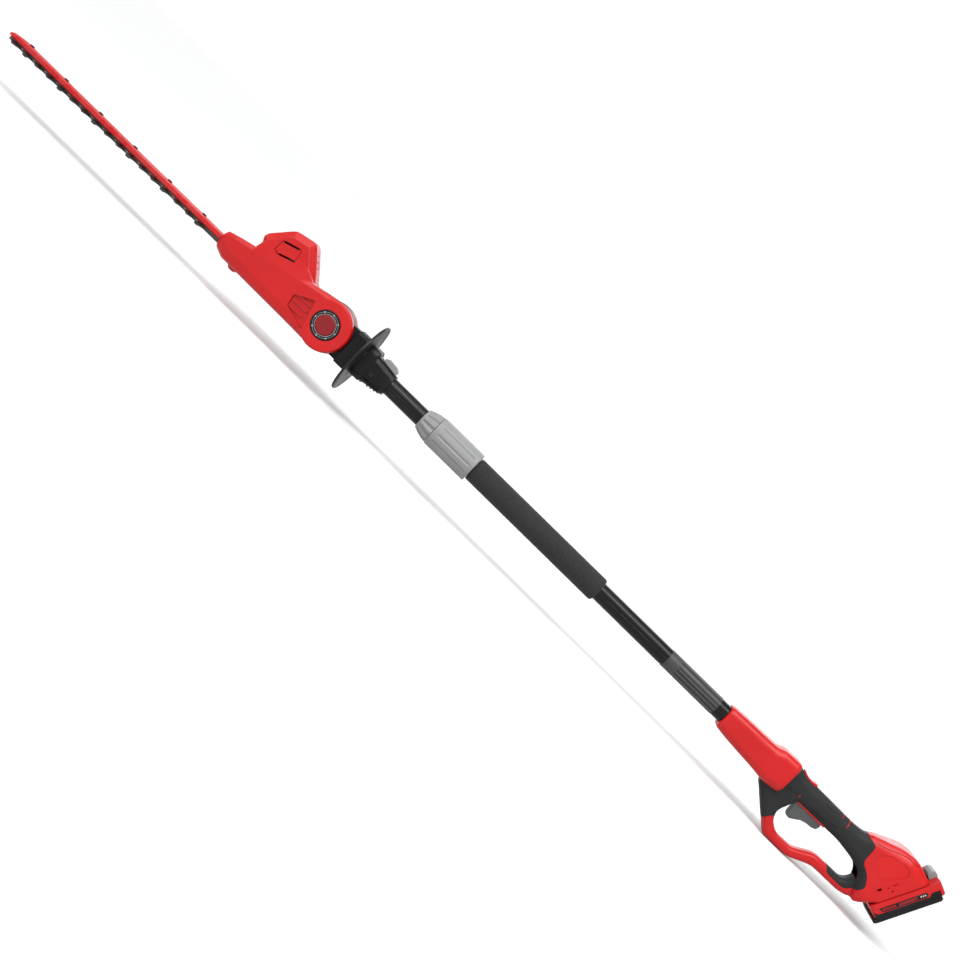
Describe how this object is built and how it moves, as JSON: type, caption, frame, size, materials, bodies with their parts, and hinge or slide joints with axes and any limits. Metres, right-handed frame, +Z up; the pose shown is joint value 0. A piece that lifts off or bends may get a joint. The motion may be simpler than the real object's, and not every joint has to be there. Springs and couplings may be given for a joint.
{
  "type": "pole hedge trimmer",
  "caption": "Battery pole hedge trimmer with a tilting reciprocating double-edged blade head, a detachable pole, a hand guard loop and a slide-on battery.",
  "frame": {"origin": "under the middle of the tool's bounding box, on the level surface that the hand guard's lowest edge stands on", "axes": "+X along the pole from the blade tip to the battery, +Z up from the trigger side to the motor hump, and +Y across the tool, to the side of the plain pivot cap; the angle dial is on the -Y side"},
  "size_m": [1.9966, 0.1306, 0.1735],
  "materials": {
    "red_plastic": "moulded red housing, fine satin texture",
    "black_plastic": "moulded black, satin",
    "grey_plastic": "moulded light grey, fine texture",
    "dark_grey_plastic": "moulded dark grey guard, satin",
    "trigger_grey": "moulded grey, satin",
    "overmould": "soft dark grey overmould, fine grain",
    "foam": "closed-cell foam sleeve, dull",
    "tube_paint": "gloss black paint over a steel tube",
    "red_metal": "red paint over the steel support bar",
    "blade_steel": "ground and oiled hardened steel",
    "steel": "bright zinc-plated steel",
    "dark_steel": "black oxide",
    "aluminium": "die-cast",
    "label": "printed film, plain grey blocks with no words",
    "cell_wrap": null
  },
  "bodies": {
    "handle": {"lower_tube": "tube_paint", "foam_grip": "foam", "tube_label": "label", "handle_shell_left": "red_plastic", "handle_shell_right": "red_plastic", "grip_overmould_left": "overmould", "grip_overmould_right": "overmould", "trigger_switch": "black_plastic", "terminal_block": "black_plastic", "lower_lead": "black_plastic", "battery_lead": "black_plastic", "handle_screw_1": "dark_steel", "handle_screw_2": "dark_steel", "handle_screw_3": "dark_steel", "handle_screw_4": "dark_steel", "coupling_socket": "black_plastic", "trigger_spring": "steel"},
    "coupling_nut": {"coupling_nut": "grey_plastic"},
    "upper_pole": {"coupling_crown": "grey_plastic", "coupling_plug": "black_plastic", "upper_tube": "tube_paint", "upper_lead": "black_plastic", "neck_shell_left": "black_plastic", "neck_shell_right": "black_plastic", "guard_disc": "dark_grey_plastic", "neck_screw_1": "steel", "neck_screw_2": "steel", "pivot_lock_spring": "steel"},
    "pivot_lock": {"pivot_lock_slider": "grey_plastic"},
    "head": {"head_shell_left": "red_plastic", "head_shell_right": "red_plastic", "motor_can": "dark_steel", "gear_plate": "aluminium", "blade_support_bar": "red_metal", "blade_bolt_1": "dark_steel", "blade_bolt_2": "dark_steel", "blade_bolt_3": "dark_steel", "blade_bolt_4": "dark_steel", "blade_bolt_5": "dark_steel", "blade_bolt_6": "dark_steel", "pivot_bolt": "steel", "index_disc": "steel", "dial_ring": "black_plastic", "dial_cap": "red_plastic", "pivot_cap": "red_plastic", "head_screw_1": "dark_steel", "head_screw_2": "dark_steel", "head_screw_3": "dark_steel"},
    "motor_shaft": {"motor_pinion": "steel"},
    "drive_gear": {"drive_gear": "steel"},
    "upper_blade": {"upper_blade": "blade_steel"},
    "lower_blade": {"lower_blade": "blade_steel"},
    "trigger": {"trigger": "trigger_grey"},
    "lock_off": {"lock_off_button": "red_plastic"},
    "battery": {"battery_case_upper": "red_plastic", "battery_case_lower": "black_plastic", "battery_cell_pack": "cell_wrap", "battery_latch_spring": "steel"},
    "battery_latch": {"battery_latch": "grey_plastic"}
  },
  "joints": [
    {"name": "coupling_nut_turn", "type": "hinge", "parent": "handle", "child": "coupling_nut", "pos_m": [-0.0792, 0, 0.0935], "axis": [1, 0, 0], "range_deg": [0, 450]},
    {"name": "pole_coupling_slide", "type": "slide", "parent": "handle", "child": "upper_pole", "axis": [-1, 0, 0], "range_m": [0, 0.08]},
    {"name": "head_pivot", "type": "hinge", "parent": "upper_pole", "child": "head", "pos_m": [-0.3145, 0, 0.0935], "axis": [0, 1, 0], "range_deg": [-90, 90]},
    {"name": "pivot_lock_slide", "type": "slide", "parent": "upper_pole", "child": "pivot_lock", "axis": [1, 0, 0], "range_m": [0, 0.006], "stiffness_N_per_m": 900, "springref_m": -0.005, "deforming": ["pivot_lock_spring"]},
    {"name": "drive_gear_spin", "type": "hinge", "parent": "head", "child": "drive_gear", "pos_m": [-0.451, 0, 0.0785], "axis": [0, 0, 1], "continuous": true},
    {"name": "motor_spin", "type": "hinge", "parent": "head", "child": "motor_shaft", "pos_m": [-0.424, 0, 0.0785], "axis": [0, 0, 1], "continuous": true},
    {"name": "upper_blade_stroke", "type": "slide", "parent": "head", "child": "upper_blade", "axis": [1, 0, 0], "range_m": [-0.006, 0.006]},
    {"name": "lower_blade_stroke", "type": "slide", "parent": "head", "child": "lower_blade", "axis": [1, 0, 0], "range_m": [-0.006, 0.006]},
    {"name": "trigger_pull", "type": "hinge", "parent": "handle", "child": "trigger", "pos_m": [0.742, 0, 0.0805], "axis": [0, -1, 0], "range_deg": [0, 10], "stiffness_Nm_per_rad": 0.4, "springref_deg": -11.46, "deforming": ["trigger_spring"]},
    {"name": "lock_off_press", "type": "slide", "parent": "handle", "child": "lock_off", "axis": [0, 0, -1], "range_m": [0, 0.003], "stiffness_N_per_m": 800, "springref_m": -0.002},
    {"name": "battery_slide", "type": "slide", "parent": "handle", "child": "battery", "axis": [0.4147, 0, 0.91], "range_m": [0, 0.1]},
    {"name": "battery_latch_press", "type": "slide", "parent": "battery", "child": "battery_latch", "axis": [0.91, 0, -0.4147], "range_m": [0, 0.003], "stiffness_N_per_m": 600, "springref_m": -0.002, "deforming": ["battery_latch_spring"]}
  ],
  "couplings": [
    {"joint": "motor_spin", "follows": "drive_gear_spin", "ratio": -5},
    {"joint": "lower_blade_stroke", "follows": "upper_blade_stroke", "ratio": -1}
  ]
}
